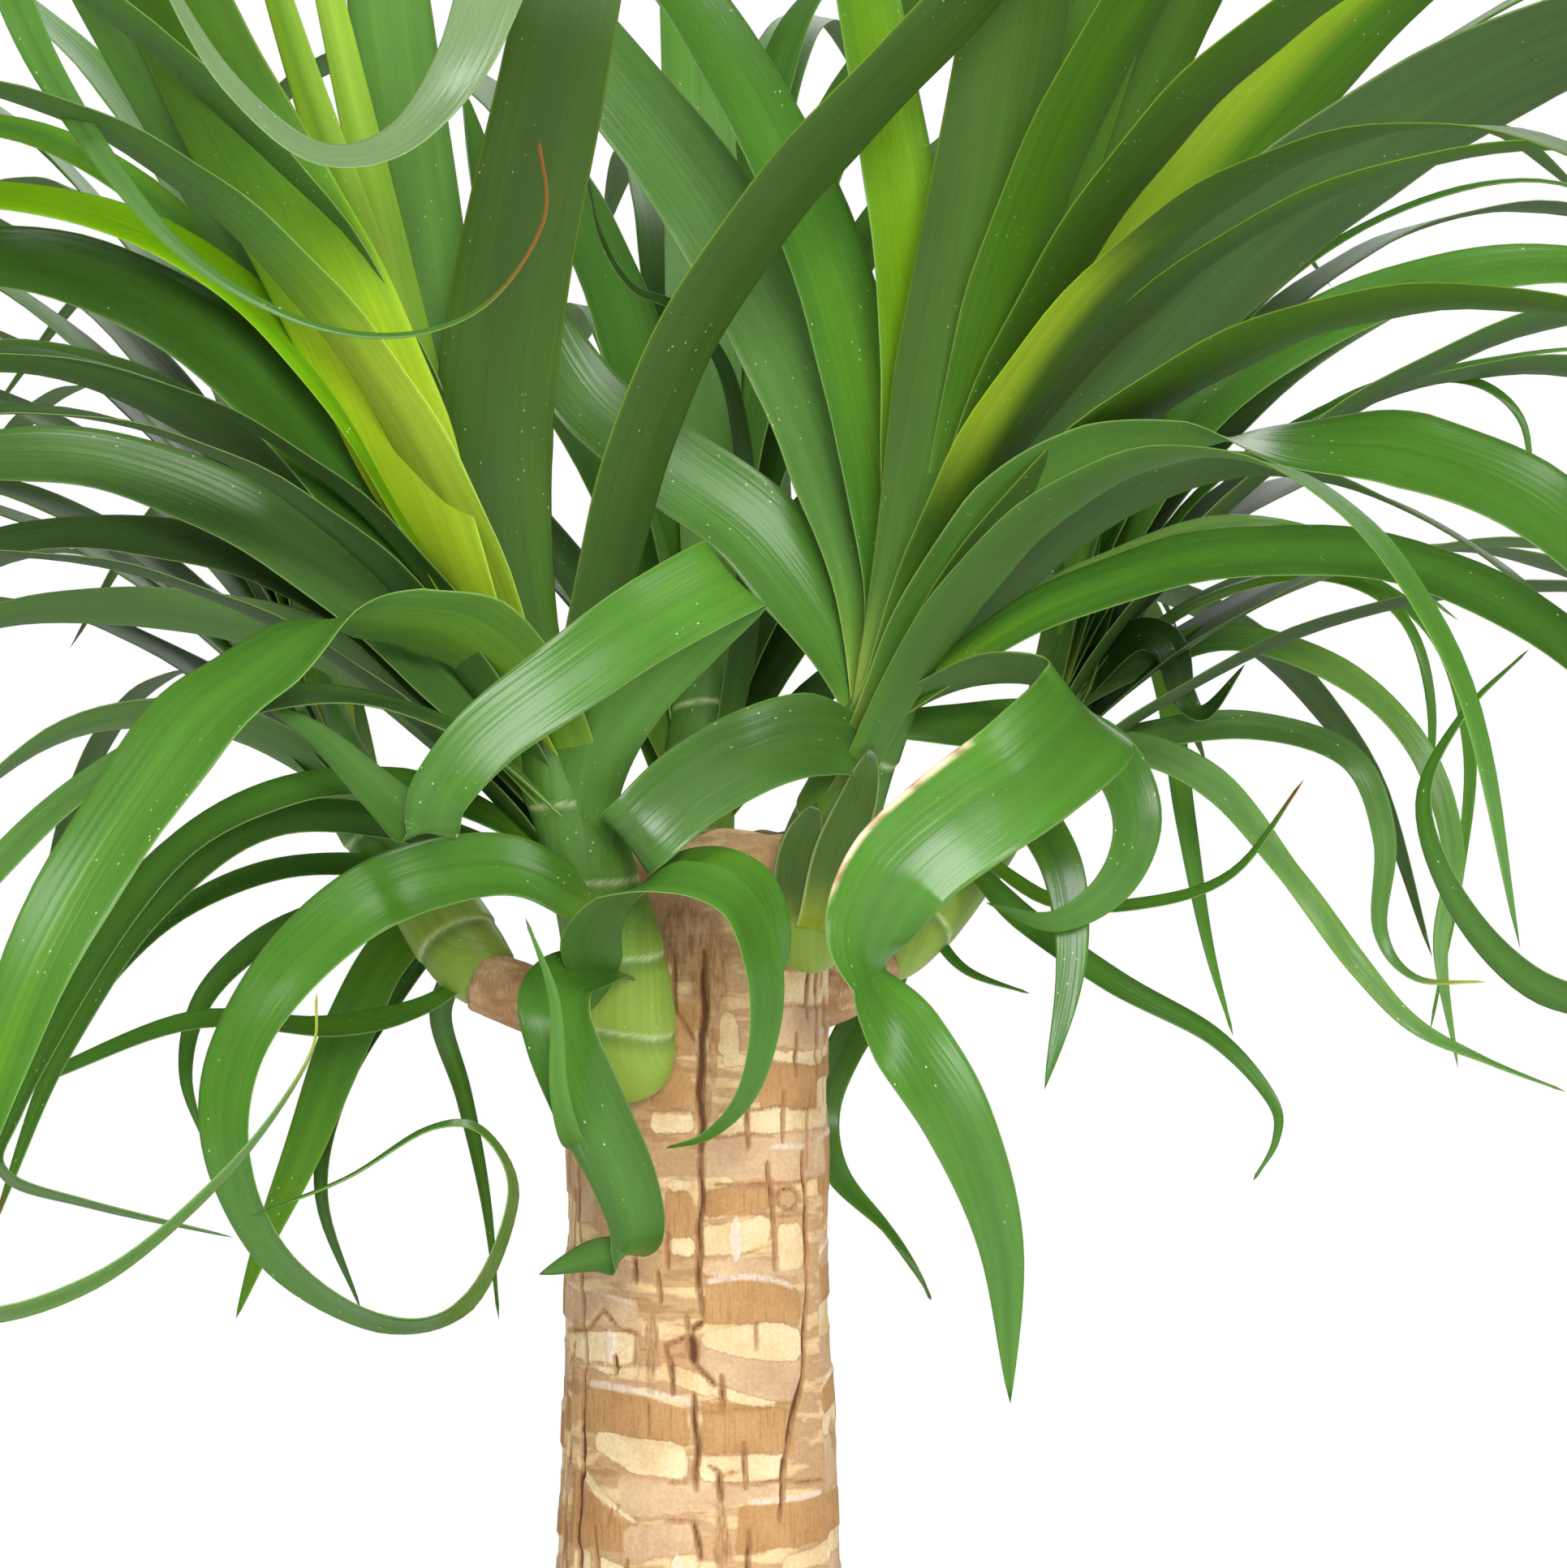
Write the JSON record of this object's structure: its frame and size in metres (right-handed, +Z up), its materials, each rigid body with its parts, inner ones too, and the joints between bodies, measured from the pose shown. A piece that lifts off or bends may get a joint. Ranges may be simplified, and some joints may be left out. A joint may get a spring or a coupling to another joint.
{
  "type": "potted ponytail palm",
  "caption": "Ponytail palm in a plain tapered clay pot: a stout ring-scarred trunk with a swollen foot, and heads of long strap leaves that arch, fold and curl at their tips.",
  "frame": {"origin": "middle of the pot's flat underside", "axes": "+Z up along the trunk, -Y towards the front that the picture shows, +X to the right in the picture"},
  "size_m": [0.6613, 0.5923, 0.8078],
  "materials": {
    "fired_clay": "matte",
    "soil": "matte",
    "bark": "matte",
    "leaf": "satin"
  },
  "bodies": {
    "root": {"pot": "fired_clay", "soil": "soil", "trunk": "bark", "head_front_left": "leaf", "head_front_right": "leaf", "head_back_left": "leaf", "head_back_right": "leaf", "head_back": "leaf"}
  },
  "joints": []
}
